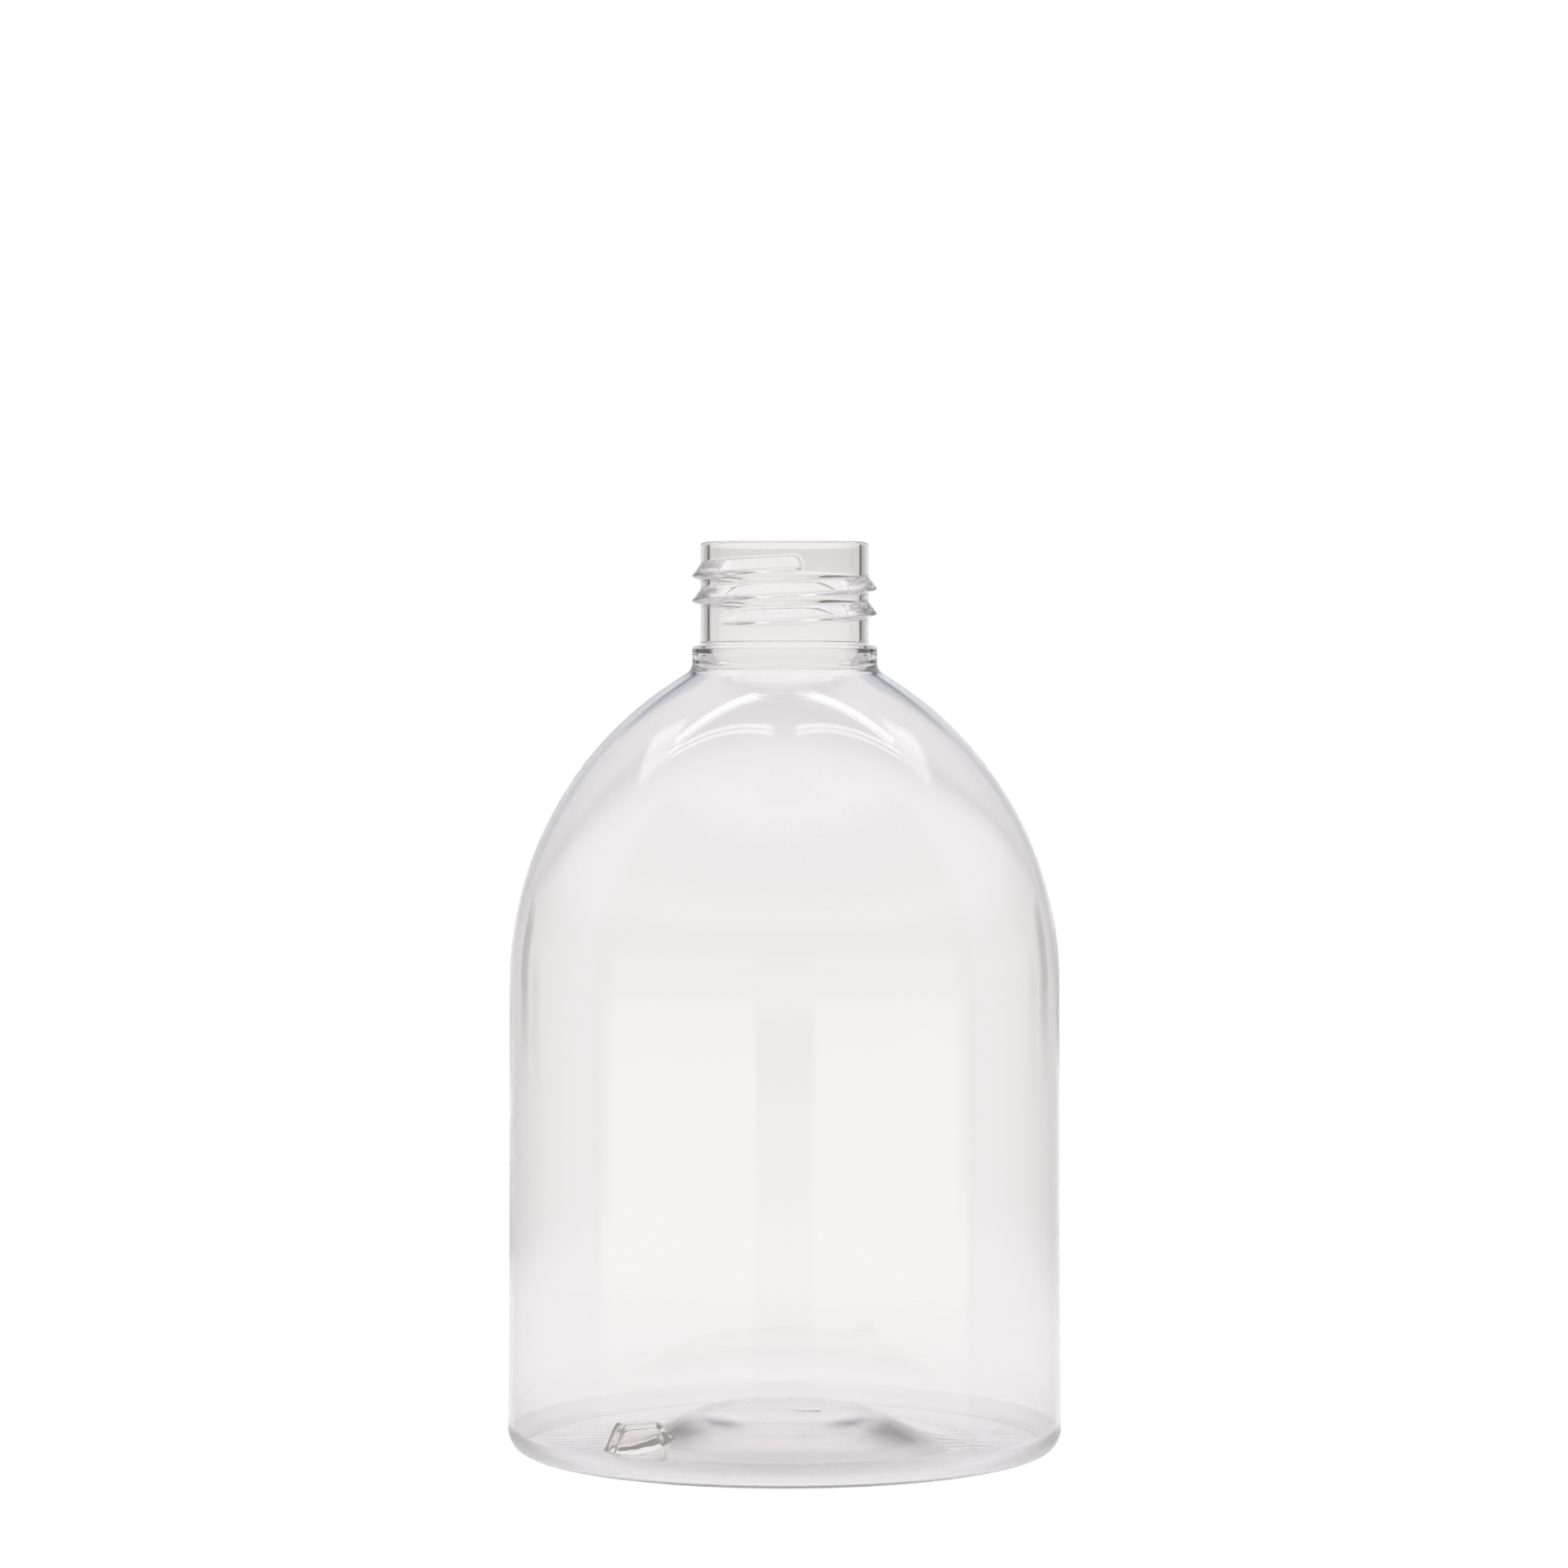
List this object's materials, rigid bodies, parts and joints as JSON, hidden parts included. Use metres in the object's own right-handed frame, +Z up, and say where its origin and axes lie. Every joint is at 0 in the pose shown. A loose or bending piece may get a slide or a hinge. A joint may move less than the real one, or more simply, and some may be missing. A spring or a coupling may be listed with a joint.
{
  "type": "pet bottle",
  "caption": "Clear round plastic bottle with a domed shoulder, a threaded open neck above a bead, and a pushed-up base with an index pocket.",
  "frame": {"origin": "on the bottle's axis, at the plane it stands on", "axes": "+Z up along the bottle's axis, out of its mouth; +X to the right in the picture, +Y away from the camera"},
  "size_m": [0.0704, 0.0704, 0.1152],
  "materials": {
    "clear_plastic": "clear, glossy, blown smooth"
  },
  "bodies": {
    "root": {"bottle": "clear_plastic"}
  },
  "joints": []
}
